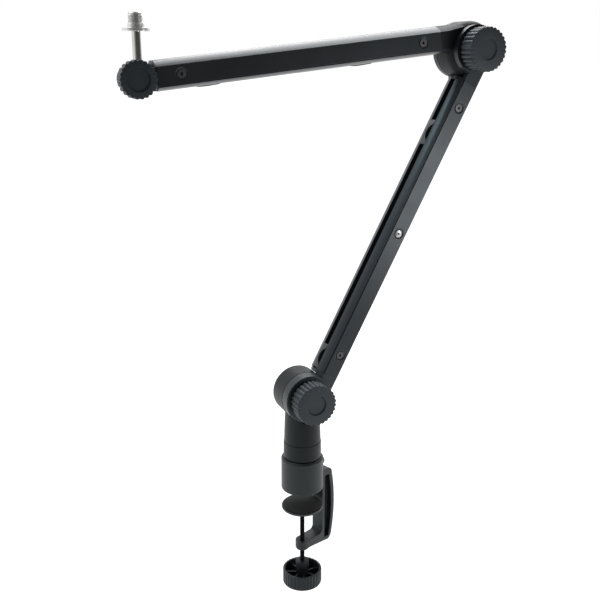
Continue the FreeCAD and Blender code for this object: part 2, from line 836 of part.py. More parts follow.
def swivel_post():
    """Round neck that runs up into the head of the base hinge."""
    bottom = post_seam_height + post_seam_gap
    neck = turned_z([
        (0, bottom),
        (neck_base_radius, bottom),
        (neck_head_radius, base_pivot_height),
        (0, base_pivot_height),
    ])
    ring_room = rod_y(base_ring_radius + hub_clearance, -big, -post_head_front, 0, base_pivot_height)
    head = rounded_rod_y(post_head_radius, -post_head_front, post_head_rear, post_head_edge, False)
    body = neck.fuse(shifted(head, z=base_pivot_height)).removeSplitter().cut(ring_room)
    bolt_hole = rod_y(hinge_bolt_radius + seat_clearance, -post_head_front, post_head_rear)
    cuts = shifted(bolt_hole.fuse(bolt_pocket(post_head_rear)), z=base_pivot_height)
    return body.cut(cuts).cut(rod_z(spigot_radius + seat_clearance, bottom, spigot_top))


def post_sleeve():
    """Tapered sleeve between the socket and the seam of the post."""
    foot = collar_height + sleeve_gap
    return turned_z([
        (spigot_radius + seat_clearance, foot),
        (sleeve_foot_radius - sleeve_edge, foot),
        (sleeve_foot_radius, foot + sleeve_edge),
        (sleeve_head_radius, post_seam_height),
        (spigot_radius + seat_clearance, post_seam_height),
    ])


def spigot():
    """Steel pin that drops into the socket."""
    return rod_z(spigot_radius, spigot_foot, spigot_top - face_gap)


# Springs inside the lower arm


def spring(x_from, x_to, eye_side):
    """Closed-wound extension spring as its outer envelope, with a flat eye round the anchor pin."""
    coil = rod_x(spring_radius, x_from, x_to, spring_axis)
    coil = coil.cut(rod_x(spring_radius - spring_wall, x_from + spring_end, x_to - spring_end, spring_axis))
    eye_y = sorted((eye_side * eye_gap / 2, eye_side * (eye_gap / 2 + eye_thickness)))
    eye_radius = anchor_pin_radius + eye_wall
    near_end = x_from if x_from > anchor_distance else x_to
    shank = block(sorted((near_end, anchor_distance)), eye_y, (spring_axis, spring_axis + eye_radius))
    eye = rod_y(eye_radius, *eye_y, anchor_distance).fuse(shank)
    hole = rod_y(anchor_pin_radius + seat_clearance, *eye_y, anchor_distance)
    return shifted(coil.fuse(eye).removeSplitter().cut(hole), z=-arm_offset)


def tension_link(x_from, x_to):
    """Rod that takes a spring's pull through the fitting towards the hinge."""
    return shifted(rod_x(link_radius, x_from, x_to, spring_axis), z=-arm_offset)


def anchor_pin():
    """Cross pin in the middle of the lower arm with a domed socket head on the front."""
    seat = -screw_seat + face_gap
    rim = seat - screw_recess_depth / 2
    dome_radius = (screw_head_radius ** 2 + anchor_head_dome ** 2) / (2 * anchor_head_dome)
    dome = Part.makeSphere(dome_radius, FreeCAD.Vector(0, rim - anchor_head_dome + dome_radius, 0))
    head = rod_y(screw_head_radius, rim - anchor_head_dome, seat).common(dome)
    pin = rod_y(anchor_pin_radius, seat, half_width).fuse(head).removeSplitter()
    socket = hexagon_y(screw_socket_flats, rim - anchor_head_dome, seat - face_gap)
    return shifted(pin.cut(socket), x=anchor_distance, z=-arm_offset)


# Microphone head


def mic_head():
    """Round hinge head with a boss for the stud."""
    front = mic_hinge_plane - face_gap - friction_washer_thickness - mic_head_thickness
    back = front + mic_head_thickness
    middle = (front + back) / 2
    boss = rod_z(stud_boss_radius, 0, stud_boss_top, stud_offset, middle)
    body = rod_y(mic_head_radius, front, back).fuse(boss).removeSplitter()
    body = body.cut(rod_z(stud_radius + seat_clearance, stud_foot, stud_boss_top, stud_offset, middle))
    return body.cut(rod_y(mic_bolt_radius + running_clearance, front, back))


def stud_y():
    """Depth at which the stud stands in the microphone head."""
    return mic_hinge_plane - face_gap - friction_washer_thickness - mic_head_thickness / 2


def mic_stud():
    """Threaded stud that stands up from the microphone head."""
    return rod_z(stud_radius, stud_foot, stud_top, stud_offset, stud_y())


def lock_ring():
    """Flat ring that runs on the stud below the adapter."""
    top = lock_ring_bottom + lock_ring_thickness
    ring = rod_z(lock_ring_radius, lock_ring_bottom, top, stud_offset, stud_y())
    return ring.cut(rod_z(stud_radius + running_clearance, lock_ring_bottom, top, stud_offset, stud_y()))


def thread_adapter():
    """Screwed sleeve that widens the stud's thread, with a driver slot across its top."""
    foot = lock_ring_bottom + lock_ring_thickness + face_gap
    thread_foot = foot + adapter_collar_height
    top = thread_foot + adapter_thread_height
    body = turned_z([
        (0, foot),
        (adapter_collar_radius, foot),
        (adapter_collar_radius, thread_foot),
        (adapter_thread_radius, thread_foot),
        (adapter_thread_radius, top - adapter_slot_width / 2),
        (adapter_thread_radius - adapter_slot_width / 2, top),
        (0, top),
    ]).cut(rod_z(stud_radius + seat_clearance, foot, top))
    half = adapter_slot_width / 2
    across = (-adapter_collar_radius, adapter_collar_radius)
    slot = block(across, (-half, half), (top - adapter_slot_depth, top))
    return shifted(body.cut(slot), stud_offset, stud_y(), 0)


# Places of the three hinges

base_pivot = FreeCAD.Vector(0, 0, base_pivot_height)
at_base = FreeCAD.Placement(base_pivot, FreeCAD.Rotation())
on_lower_arm = FreeCAD.Placement(base_pivot, FreeCAD.Rotation(BACK, -lower_arm_angle))
elbow_pivot = on_lower_arm.multVec(FreeCAD.Vector(lower_arm_length, 0, 0))
at_elbow = FreeCAD.Placement(elbow_pivot, FreeCAD.Rotation(BACK, -lower_arm_angle))
on_upper_arm = FreeCAD.Placement(elbow_pivot, FreeCAD.Rotation(BACK, 180 - upper_arm_angle))
mic_pivot = on_upper_arm.multVec(FreeCAD.Vector(upper_arm_length, 0, -arm_offset))
at_mic = FreeCAD.Placement(mic_pivot, FreeCAD.Rotation())

lower_screws = [base_screw_distance, lower_arm_length - fork_screw_distance]
upper_screws = [hub_screw_distance, upper_arm_length - mic_screw_distance]
lower_clips = [lower_clip_from_base, lower_arm_length - lower_clip_from_elbow]
upper_clips = [upper_clip_from_elbow, upper_arm_length - upper_clip_from_mic]

base_spring_head = anchor_distance - spring_clear / 2
base_spring_foot = base_spring_head - spring_length
elbow_spring_foot = anchor_distance + spring_clear / 2
elbow_spring_head = elbow_spring_foot + spring_length
base_link_end = base_shoulder - link_setback
elbow_link_end = fork_shoulder - link_setback
mic_back = mic_hinge_plane + tongue_thickness
mic_head_back = mic_hinge_plane - face_gap - friction_washer_thickness
mic_head_front = mic_head_back - mic_head_thickness
mic_knob_back = knob_washer_thickness + 2 * face_gap - mic_head_front
bolt_end = -knob_back - insert_length + face_gap
mic_bolt_end = -mic_knob_back - mic_insert_length + face_gap


def washer(outer, bolt_radius, y_from, y_to):
    """Flat washer on a hinge bolt."""
    return ring_y(outer, bolt_radius + seat_clearance, y_from, y_to)


def arm_knob():
    """Hand knob that the base and the elbow share."""
    return hinge_knob(
        knob_radius, flute_depth, knob_flutes, knob_thickness, knob_back, insert_radius, insert_length
    )


def lower_arm_nodes():
    """Pieces that ride on the lower arm, drawn along +X from the base pivot."""
    tube = arm_tube(base_shoulder, lower_arm_length - fork_shoulder, lower_screws, anchor_distance)
    return {
        "lower_arm_tube": tube,
        "lower_arm_base_fitting": base_fitting(),
        "lower_arm_elbow_fork": reversed_end(elbow_fork(), lower_arm_length),
        "lower_arm_screws": tube_screws(lower_screws),
        "lower_cable_clips": cable_clips(lower_clips),
        "spring_anchor_pin": anchor_pin(),
        "base_spring": spring(base_spring_foot, base_spring_head, -1),
        "elbow_spring": spring(elbow_spring_foot, elbow_spring_head, 1),
        "base_tension_link": tension_link(base_link_end, base_spring_foot),
        "elbow_tension_link": tension_link(elbow_spring_head, lower_arm_length - elbow_link_end),
    }


def elbow_nodes():
    """Hinge hardware on the elbow axis."""
    bolt = hinge_bolt_radius
    washers = [
        washer(friction_washer_radius, bolt, -front_ear_inner, -front_ear_inner + friction_washer_thickness),
        washer(friction_washer_radius, bolt, rear_ear_inner - friction_washer_thickness, rear_ear_inner),
    ]
    return {
        "elbow_bolt": hinge_bolt(bolt, bolt_head_flats, bolt_head_height, rear_ear_outer, bolt_end),
        "elbow_friction_washers": group(washers),
        "elbow_knob_washer": washer(
            knob_washer_radius, bolt, -front_ear_outer - knob_washer_thickness, -front_ear_outer
        ),
        "elbow_knob": arm_knob(),
        "elbow_knob_insert": knob_insert(insert_radius, bolt, insert_length, knob_back),
    }


def base_nodes():
    """Hinge hardware on the base axis."""
    bolt = hinge_bolt_radius
    return {
        "base_bolt": hinge_bolt(bolt, bolt_head_flats, bolt_head_height, post_head_rear, bolt_end),
        "base_friction_washer": washer(
            friction_washer_radius, bolt, -post_head_front - friction_washer_thickness, -post_head_front
        ),
        "base_knob_washer": washer(
            knob_washer_radius,
            bolt,
            -front_ear_outer - knob_washer_thickness - face_gap,
            -front_ear_outer - face_gap,
        ),
        "base_knob": arm_knob(),
        "base_knob_insert": knob_insert(insert_radius, bolt, insert_length, knob_back),
    }


def upper_arm_nodes():
    """Pieces that ride on the upper arm, drawn along +X from the elbow pivot."""
    end = shifted(reversed_end(mic_fitting(), upper_arm_length), z=-arm_offset)
    return {
        "upper_arm_tube": arm_tube(hub_shoulder, upper_arm_length - mic_shoulder, upper_screws),
        "upper_arm_hub": hub_fitting(),
        "upper_arm_mic_fitting": end,
        "upper_arm_screws": tube_screws(upper_screws),
        "upper_cable_clips": cable_clips(upper_clips),
    }


def mic_nodes():
    """Tilt hinge, stud and thread adapter, drawn about the microphone pivot."""
    return {
        "mic_bolt": hinge_bolt(
            mic_bolt_radius, mic_bolt_head_flats, mic_bolt_head_height, mic_back, mic_bolt_end
        ),
        "mic_friction_washer": washer(
            mic_washer_radius, mic_bolt_radius, mic_hinge_plane - friction_washer_thickness, mic_hinge_plane
        ),
        "mic_knob_washer": washer(
            mic_knob_washer_radius,
            mic_bolt_radius,
            mic_head_front - face_gap - knob_washer_thickness,
            mic_head_front - face_gap,
        ),
        "mic_knob": hinge_knob(
            mic_knob_radius,
            mic_flute_depth,
            mic_knob_flutes,
            mic_knob_thickness,
            mic_knob_back,
            mic_insert_radius,
            mic_insert_length,
        ),
        "mic_knob_insert": knob_insert(mic_insert_radius, mic_bolt_radius, mic_insert_length, mic_knob_back),
        "mic_head": mic_head(),
        "mic_stud": mic_stud(),
        "lock_ring": lock_ring(),
        "thread_adapter": thread_adapter(),
    }


def clamp_nodes():
    """Clamp, its screw and the swivel post, drawn where they stand."""
    return {
        "clamp_frame": clamp_frame(),
        "jaw_pad": rod_z(jaw_pad_radius, 0, jaw_pad_thickness),
        "socket_liner": socket_liner(),
        "retaining_screw": retaining_screw(),
        "screw_bush": screw_bush(),
        "clamp_screw": clamp_screw(),
        "pressure_pad": pressure_pad(),
        "pad_rubber": pad_rubber(),
        "clamp_knob": clamp_knob(),
        "swivel_post": swivel_post(),
        "post_sleeve": post_sleeve(),
        "spigot": spigot(),
    }


def main():
    os.makedirs("parts", exist_ok=True)
    assembly = [
        (clamp_nodes(), FreeCAD.Placement()),
        (base_nodes(), at_base),
        (lower_arm_nodes(), on_lower_arm),
        (elbow_nodes(), at_elbow),
        (upper_arm_nodes(), on_upper_arm),
        (mic_nodes(), at_mic),
    ]
    for nodes, placement in assembly:
        for name, shape in nodes.items():
            # The bolt of the microphone hinge sits in the tongue, so it leans with the upper arm.
            lean = FreeCAD.Placement(mic_pivot, on_upper_arm.Rotation) if name == "mic_bolt" else placement
            placed(shape, lean).exportStep("parts/" + name + ".step")


main()
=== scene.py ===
import json
import math

import bmesh
import bpy
from mathutils import Matrix, Vector


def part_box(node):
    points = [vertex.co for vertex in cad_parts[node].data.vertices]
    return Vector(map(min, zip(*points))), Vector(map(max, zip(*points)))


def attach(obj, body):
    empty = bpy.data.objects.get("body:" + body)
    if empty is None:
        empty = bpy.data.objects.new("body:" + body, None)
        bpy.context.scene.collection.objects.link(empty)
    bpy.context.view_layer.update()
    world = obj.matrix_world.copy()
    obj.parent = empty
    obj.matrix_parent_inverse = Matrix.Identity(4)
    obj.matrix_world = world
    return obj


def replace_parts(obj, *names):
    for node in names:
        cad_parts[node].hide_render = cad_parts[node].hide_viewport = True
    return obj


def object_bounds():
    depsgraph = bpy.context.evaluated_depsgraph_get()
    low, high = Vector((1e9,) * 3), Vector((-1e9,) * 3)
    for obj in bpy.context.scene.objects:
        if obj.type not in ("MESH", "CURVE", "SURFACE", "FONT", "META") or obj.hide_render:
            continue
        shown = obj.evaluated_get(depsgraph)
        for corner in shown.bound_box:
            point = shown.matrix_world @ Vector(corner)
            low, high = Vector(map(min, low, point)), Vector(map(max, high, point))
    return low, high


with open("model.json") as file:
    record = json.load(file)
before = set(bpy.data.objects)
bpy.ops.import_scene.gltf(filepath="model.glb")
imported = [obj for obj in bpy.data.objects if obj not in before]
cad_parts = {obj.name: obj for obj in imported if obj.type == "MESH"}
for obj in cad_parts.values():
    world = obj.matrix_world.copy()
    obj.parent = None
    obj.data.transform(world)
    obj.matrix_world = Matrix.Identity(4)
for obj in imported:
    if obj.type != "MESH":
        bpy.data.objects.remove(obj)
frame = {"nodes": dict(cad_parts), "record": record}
cad_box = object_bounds()
nodes = frame["nodes"]

body_of = {}
for body, members in frame["record"]["behaviour"]["bodies"].items():
    for member in members:
        body_of[member] = body
slot_of = {subpart["node"]: subpart["material_slot"] for subpart in frame["record"]["subparts"]}

# Camera of the photograph, in metres and degrees, with its lens in millimetres
camera_place = Vector((-0.4186, -0.9025, 0.5440))
camera_pitch = 73.9
camera_heading = -24.71
camera_lens = 50.23
camera_sensor = 36.0
camera_near = 0.01

# Walls and floor of the studio, in metres, with levels from 0, black, to 1, white
wall_dark_side = (0.35, -0.93, -0.05)
wall_fade = (0.0, 0.8)
wall_levels = (1.0, 0.14)
ceiling_side = (0.0, -0.5, 1.0)
ceiling_fade = (0.05, 0.32)
ceiling_levels = (1.0, 0.5)
floor_size = 40.0
floor_drop = 0.045
# Painted glow of the floor: it rises from the first level near the part, where the part's shadow
# shows, to the second farther off, across the span of distances
floor_shadow_reach = (0.35, 1.3)
floor_painted_glow = (0.41, 0.88)
floor_front = (-1.3, -0.5)
floor_tones = (0.2, 0.85)

# Lamps: place, point that they face, width, height, brightness and colour
lamps = {
    "top_light": ((0.48, 0.62, 1.43), (0.0, 0.0, 0.54), 1.2, 1.0, 4.8, (1, 1, 1)),
    "side_card": ((0.60, -0.71, 0.265), (0.15, 0.0, 0.36), 0.30, 0.36, 5.6, (1, 1, 1)),
    "left_card": ((-0.57, 0.34, 1.25), (0.2, 0.0, 0.5), 0.40, 0.36, 7.0, (0.72, 0.92, 1.0)),
}

# Joining of the solids' triangles, in metres and degrees
merge_distance = 0.00001
flat_angle = 1.0

# Rounding of the outer solids' edges, in metres, where they are sharper than the angle in degrees
edge_angle = 28.0
edge_segments = 2
edge_rounds = {
    "lower_arm_tube": 0.0002,
    "upper_arm_tube": 0.0002,
    "upper_arm_hub": 0.0006,
    "upper_arm_mic_fitting": 0.0003,
    "lower_cable_clips": 0.0003,
    "upper_cable_clips": 0.0003,
    "clamp_knob": 0.0004,
    "clamp_frame": 0.0007,
    "pressure_pad": 0.0004,
    "pad_rubber": 0.0003,
    "post_sleeve": 0.0003,
    "mic_head": 0.0005,
    "mic_stud": 0.0003,
    "lock_ring": 0.0004,
}

# Hexagon sockets of the screws, in metres, with the share that a face's area may be off
socketed_screws = ("lower_arm_screws", "upper_arm_screws", "spring_anchor_pin")
socket_sides = 6
socket_flats = 0.003
socket_sink = 0.002
socket_tolerance = 0.05

# Threads, in metres, with the land as a share of the pitch
thread_steps = 24
thread_sink = 0.00005
thread_land = 0.1
screw_pitch = 0.001
screw_root = 0.0024
screw_tip = 0.006
adapter_pitch = 0.00094
adapter_root = 0.0072
adapter_crest = 0.0079375
adapter_bore = 0.0055
adapter_collar = 0.0044
adapter_slot = 0.0026
adapter_edge = 0.0002

# Hinge knobs, in metres: count and depth of the scallops, radius and depth of the hole behind
knob_forms = {
    "base_knob": (28, 0.0017, 0.00702, 0.012),
    "elbow_knob": (28, 0.0017, 0.00702, 0.012),
    "mic_knob": (22, 0.0016, 0.00552, 0.009),
}
scallop_steps = 8
scallop_edge = 0.0006
rim_steps = 4
recess_radius = 0.0127
recess_slope = 0.001
recess_depth = 0.002
back_gap = 0.00002

# Patterns of the finishes: scale in cells to a metre and detail of a noise, depth in metres,
# and how much the tone and the gloss vary
noise_span = (0.3, 0.7)
cool_gloss = (0.87, 0.95, 1.0, 1)
moulded = {"cloud": (35, 3), "lift": 1.18, "uneven": 0.04, "grain": 2200, "depth": 0.00003}
coated = {"cloud": (18, 4), "lift": 1.15, "uneven": 0.03, "grain": 1600, "depth": 0.00002}
metal_marks = (900, 900, 60)
metal_detail = 3
metal_dulling = 0.86
metal_gloss = (0.7, 1.4)
metal_depth = 0.000006
rubber_skin = (900, 4)
rubber_lift = 1.3
rubber_gloss = (0.72, 0.9)
rubber_depth = 0.00006

# Painted and moulded finishes: pattern, colour, roughness and strength of the gloss
skins = {
    # Lit and shaded copies of one arm coating, painted light: the lower arm's copy has the
    # stronger gloss, so its face reads lighter than the upper arm's
    "lower_arm_coat": (coated, (0.016, 0.019, 0.024), 0.33, 0.5),
    "upper_arm_coat": (coated, (0.019, 0.0215, 0.025), 0.30, 0.38),
    "clamp_coat": (coated, (0.0135, 0.0155, 0.016), 0.42, 0.42),
    "pad_coat": (coated, (0.024, 0.027, 0.028), 0.42, 0.5),
    "post_coat": (moulded, (0.0085, 0.0103, 0.0112), 0.42, 0.26),
    "fitting_black": (moulded, (0.0125, 0.0145, 0.017), 0.44, 0.42),
    "ring_black": (moulded, (0.016, 0.0185, 0.021), 0.42, 0.55),
    "hub_black": (moulded, (0.010, 0.0115, 0.0135), 0.56, 0.24),
    "knob_slate": (moulded, (0.023, 0.0285, 0.034), 0.50, 0.5),
    "clamp_knob_black": (moulded, (0.0105, 0.0125, 0.0145), 0.50, 0.36),
    "nylon": (moulded, (0.05, 0.05, 0.052), 0.55, 0.5),
    "clip_moulding": (moulded, (0.035, 0.036, 0.038), 0.42, 0.5),
    "upper_clip_black": (moulded, (0.006, 0.0063, 0.0066), 0.80, 0.0),
    "spindle_black": (moulded, (0.0075, 0.0085, 0.0095), 0.65, 0.12),
}

# Metals: colour and roughness
metals = {
    "plated": ((0.64, 0.64, 0.62), 0.09),
    "nickel": ((0.80, 0.80, 0.78), 0.31),
    "zinc_steel": ((0.50, 0.50, 0.50), 0.26),
    "black_steel": ((0.035, 0.035, 0.038), 0.36),
    "screw_steel": ((0.11, 0.11, 0.115), 0.40),
    "brass": ((0.55, 0.42, 0.18), 0.30),
}
rubbers = {"facing_rubber": (0.009, 0.009, 0.010)}

finish_by_slot = {
    "arm_tube": "lower_arm_coat",
    "post": "post_coat",
    "fitting": "fitting_black",
    "knob": "knob_slate",
    "clamp": "clamp_coat",
    "pad_plate": "pad_coat",
    "soft_facing": "facing_rubber",
    "nylon": "nylon",
    "cable_clip": "clip_moulding",
    "bright_steel": "plated",
    "plain_steel": "zinc_steel",
    "black_steel": "black_steel",
    "brass_part": "brass",
}
finish_by_node = {
    # The upper arm tube takes the shaded copy of the arm coating, painted shade
    "upper_arm_tube": "upper_arm_coat",
    "upper_arm_hub": "hub_black",
    "lower_arm_base_fitting": "ring_black",
    "clamp_knob": "clamp_knob_black",
    "clamp_screw": "spindle_black",
    "thread_adapter": "nickel",
    "lock_ring": "nickel",
    "upper_cable_clips": "upper_clip_black",
    "lower_arm_screws": "screw_steel",
    "upper_arm_screws": "screw_steel",
}


# Finishes


def new_finish(name):
    """Material with its shader and the coordinates that its patterns read."""
    material = bpy.data.materials.new(name)
    material.use_nodes = True
    tree = material.node_tree
    place = tree.nodes.new("ShaderNodeTexCoord").outputs["Object"]
    return material, tree, tree.nodes["Principled BSDF"], place


def noise(tree, place, scale, detail=2.0):
    """Noise value on the piece."""
    texture = tree.nodes.new("ShaderNodeTexNoise")
    texture.inputs["Scale"].default_value = scale
    texture.inputs["Detail"].default_value = detail
    tree.links.new(place, texture.inputs["Vector"])
    return texture.outputs["Fac"]


def stretched(tree, place, scales):
    """Coordinates with a scale of their own along each axis."""
    mapping = tree.nodes.new("ShaderNodeMapping")
    mapping.inputs["Scale"].default_value = scales
    tree.links.new(place, mapping.inputs["Vector"])
    return mapping.outputs["Vector"]


def carry_over(tree, value, span, levels, course="LINEAR"):
    """Value carried over from one span to another."""
    node = tree.nodes.new("ShaderNodeMapRange")
    node.interpolation_type = course
    sockets = ("From Min", "From Max", "To Min", "To Max")
    for socket, number in zip(sockets, (*span, *levels)):
        node.inputs[socket].default_value = number
    tree.links.new(value, node.inputs["Value"])
    return node.outputs["Result"]


def shade(tree, value, tones):
    """Colour between two tones, picked by a noise value."""
    ramp = tree.nodes.new("ShaderNodeValToRGB")
    for element, position, tone in zip(ramp.color_ramp.elements, noise_span, tones):
        element.position = position
        element.color = (*tone, 1)
    tree.links.new(value, ramp.inputs["Fac"])
    return ramp.outputs["Color"]


def vary(tree, shader, value, tones, roughness):
    """Lets a noise value pick the tone and the gloss of a finish."""
    tree.links.new(shade(tree, value, tones), shader.inputs["Base Color"])
    gloss = carry_over(tree, value, noise_span, roughness)
    tree.links.new(gloss, shader.inputs["Roughness"])


def dent(tree, shader, value, depth):
    """Bump of a given depth from a noise value."""
    bump = tree.nodes.new("ShaderNodeBump")
    bump.inputs["Strength"].default_value = 1.0
    bump.inputs["Distance"].default_value = depth
    tree.links.new(value, bump.inputs["Height"])
    tree.links.new(bump.outputs["Normal"], shader.inputs["Normal"])


def toned(colour, factor):
    """Colour made lighter or darker."""
    return tuple(factor * part for part in colour)


def skin(name, pattern, colour, roughness, gloss):
    """Spark-eroded plastic or a satin coat: fine grain, clouded tone, slightly uneven gloss."""
    material, tree, shader, place = new_finish(name)
    shader.inputs["Specular IOR Level"].default_value = gloss
    shader.inputs["Specular Tint"].default_value = cool_gloss
    cloud = noise(tree, place, *pattern["cloud"])
    uneven = pattern["uneven"]
    tones = (colour, toned(colour, pattern["lift"]))
    vary(tree, shader, cloud, tones, (roughness - uneven, roughness + uneven))
    dent(tree, shader, noise(tree, place, pattern["grain"]), pattern["depth"])
    return material


def metal(name, colour, roughness):
    """Plated or turned metal with fine marks along its length."""
    material, tree, shader, place = new_finish(name)
    shader.inputs["Metallic"].default_value = 1.0
    marks = noise(tree, stretched(tree, place, metal_marks), 1.0, metal_detail)
    tones = (toned(colour, metal_dulling), colour)
    vary(tree, shader, marks, tones, tuple(roughness * share for share in metal_gloss))
    dent(tree, shader, marks, metal_depth)
    return material


def rubber(name, colour):
    """Soft matt facing with a coarse skin."""
    material, tree, shader, place = new_finish(name)
    grain = noise(tree, place, *rubber_skin)
    vary(tree, shader, grain, (colour, toned(colour, rubber_lift)), rubber_gloss)
    dent(tree, shader, grain, rubber_depth)
    return material


finishes = {}
for name, look in skins.items():
    finishes[name] = skin(name, *look)
for name, look in metals.items():
    finishes[name] = metal(name, *look)
for name, colour in rubbers.items():
    finishes[name] = rubber(name, colour)


def finish_of(name):
    """Finish of a solid, by its own name or by its slot in the record."""
    return finishes[finish_by_node.get(name, finish_by_slot[slot_of[name]])]


def dress_nodes():
    """Gives every solid of the part its finish."""
    for name in slot_of:
        mesh = nodes[name].data
        mesh.materials.clear()
        mesh.materials.append(finish_of(name))


# Forms finer than the solids


def merged_copy(name):
    """Solid's mesh with its loose triangles joined and its flat faces made whole."""
    form = bmesh.new()
    form.from_mesh(nodes[name].data)
    bmesh.ops.remove_doubles(form, verts=form.verts, dist=merge_distance)
    bmesh.ops.dissolve_limit(
        form, angle_limit=math.radians(flat_angle), verts=form.verts, edges=form.edges
    )
    return form


def shown(form, name, label):
    """Makes a piece of a form in a solid's finish, which moves with the solid's body."""
    for face in form.faces:
        face.smooth = True
    mesh = bpy.data.meshes.new(label)
    form.to_mesh(mesh)
    form.free()
    loaded = mesh.attributes.get("custom_normal")
    if loaded:
        mesh.attributes.remove(loaded)
    mesh.materials.clear()
    mesh.materials.append(finish_of(name))
    mesh.set_sharp_from_angle(angle=math.radians(edge_angle))
    piece = bpy.data.objects.new(label, mesh)
    bpy.context.scene.collection.objects.link(piece)
    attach(piece, body_of[name])
    return piece


def stand_in(form, name, label):
    """Piece that is shown in place of a solid."""
    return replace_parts(shown(form, name, label), name)


def ease_edges(piece, width):
    """Rounds the sharp edges of a piece."""
    rounding = piece.modifiers.new("eased_edges", "BEVEL")
    rounding.limit_method = "ANGLE"
    rounding.angle_limit = math.radians(edge_angle)
    rounding.width = width
    rounding.segments = edge_segments
    rounding.use_clamp_overlap = False
    rounding.loop_slide = False
    rounding.harden_normals = True


def ease_solids():
    """Shows the outer solids with rounded edges."""
    for name, width in edge_rounds.items():
        ease_edges(stand_in(merged_copy(name), name, name + "_eased"), width)


def sink_sockets(name):
    """Takes the hexagon sockets of a screw down into its shank."""
    form = merged_copy(name)
    socket_area = math.sqrt(3) / 2 * socket_flats ** 2
    for face in form.faces:
        misfit = abs(face.calc_area() / socket_area - 1)
        if len(face.verts) == socket_sides and misfit < socket_tolerance:
            bmesh.ops.translate(form, vec=-socket_sink * face.normal, verts=face.verts)
    stand_in(form, name, name + "_socketed")


def shape_ring(form, ring, step_of, was, now):
    """Takes a knob's ring from one reach, scallop depth and height to another."""
    for step in range(scallop_steps):
        drawn_in = (2 * step / scallop_steps - 1) ** 2
        ratio = (now[0] - now[1] * drawn_in) / (was[0] - was[1] * drawn_in)
        spots = [vert for vert in ring if vert[step_of] == step]
        bmesh.ops.scale(form, vec=(ratio, ratio, 1), verts=spots)
    bmesh.ops.translate(form, vec=(0, 0, now[2] - was[2]), verts=ring)


def ring_edges(form, ring):
    """Edges that join the points of a ring, in the form's own order."""
    members = set(ring)
    return [edge for edge in form.edges if members.issuperset(edge.verts)]


def scalloped_knob(name, count, depth, bore, bore_depth):
    """Hand knob whose scallops run out on its face, with a recess in front and a hole behind."""
    low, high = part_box(name)
    thickness = high.y - low.y
    reach = (high.x - low.x) / 2
    outline = [
        (recess_radius - recess_slope, 0.0, thickness - recess_depth),
        (recess_radius, 0.0, thickness),
    ]
    for step in range(rim_steps + 1):
        turn = math.pi / 2 * step / rim_steps
        inwards = scallop_edge * (1 - math.sin(turn))
        behind = scallop_edge * (1 - math.cos(turn))
        outline.append((reach - inwards, depth, thickness - behind))
    outline += [(reach, depth, back_gap), (bore, 0.0, back_gap), (bore, 0.0, bore_depth)]

    form = bmesh.new()
    step_of = form.verts.layers.int.new("scallop_step")
    start = bmesh.ops.create_circle(form, segments=count * scallop_steps, radius=recess_radius)
    ring = start["verts"]
    for place, vert in enumerate(ring):
        vert[step_of] = place % scallop_steps
    shape_ring(form, ring, step_of, (recess_radius, 0.0, 0.0), outline[0])
    for was, now in zip(outline, outline[1:]):
        grown = bmesh.ops.extrude_edge_only(form, edges=ring_edges(form, ring))["geom"]
        ring = [part for part in grown if isinstance(part, bmesh.types.BMVert)]
        shape_ring(form, ring, step_of, was, now)
    bmesh.ops.holes_fill(form, edges=form.edges)
    bmesh.ops.recalc_face_normals(form, faces=form.faces)
    form.verts.layers.int.remove(step_of)
    bmesh.ops.rotate(form, matrix=Matrix.Rotation(math.radians(90), 3, "X"), verts=form.verts)
    middle = (low + high) / 2
    bmesh.ops.translate(form, vec=(middle.x, high.y, middle.z), verts=form.verts)
    stand_in(form, name, name + "_scalloped")


def wind_thread(form, centre, low, high, root, crest, pitch):
    """Winds a right-handed thread round an upright shaft, with its foot sunk in the shaft."""
    land = thread_land * pitch
    foot = root - thread_sink
    middle = pitch / 2
    profile = [(foot, 0.0), (crest, middle - land), (crest, middle + land), (foot, pitch)]
    row = [form.verts.new((centre.x + radius, centre.y, low + rise)) for radius, rise in profile]
    section = form.faces.new(row)
    turns = int((high - low) / pitch) - 1
    bmesh.ops.spin(
        form,
        geom=row + list(section.edges) + [section],
        cent=centre,
        axis=(0, 0, 1),
        dvec=(0, 0, pitch / thread_steps),
        angle=2 * math.pi * turns,
        steps=turns * thread_steps,
    )
    bmesh.ops.recalc_face_normals(form, faces=form.faces)


def threaded_clamp_screw():
    """Clamp screw with its thread cut down to the root."""
    low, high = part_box("clamp_screw")
    form = bmesh.new()
    bmesh.ops.create_cone(
        form,
        cap_ends=True,
        segments=thread_steps,
        radius1=screw_root,
        radius2=screw_root,
        depth=high.z - low.z,
        matrix=Matrix.Translation((0, 0, (low.z + high.z) / 2)),
    )
    thread_head = high.z - screw_tip
    centre = Vector((0, 0, 0))
    wind_thread(form, centre, low.z, thread_head, screw_root, high.x, screw_pitch)
    stand_in(form, "clamp_screw", "clamp_screw_threaded")


def threaded_adapter():
    """Adapter with its upper part turned down and a thread wound round it."""
    low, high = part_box("thread_adapter")
    centre = Vector(((low.x + high.x) / 2, (low.y + high.y) / 2, 0))
    thread_foot = low.z + adapter_collar
    thread_head = high.z - adapter_slot
    form = merged_copy("thread_adapter")
    upper = []
    for vert in form.verts:
        reach = (vert.co - centre).to_2d().length
        outside = adapter_bore < reach < adapter_crest + merge_distance
        if outside and vert.co.z > thread_foot - merge_distance:
            upper.append(vert)
    down = adapter_root / adapter_crest
    bmesh.ops.scale(form, vec=(down, down, 1), space=Matrix.Translation(-centre), verts=upper)
    ease_edges(stand_in(form, "thread_adapter", "thread_adapter_body"), adapter_edge)
    form = bmesh.new()
    wind_thread(
        form, centre, thread_foot, thread_head, adapter_root, adapter_crest, adapter_pitch
    )
    shown(form, "thread_adapter", "adapter_thread")


# Studio


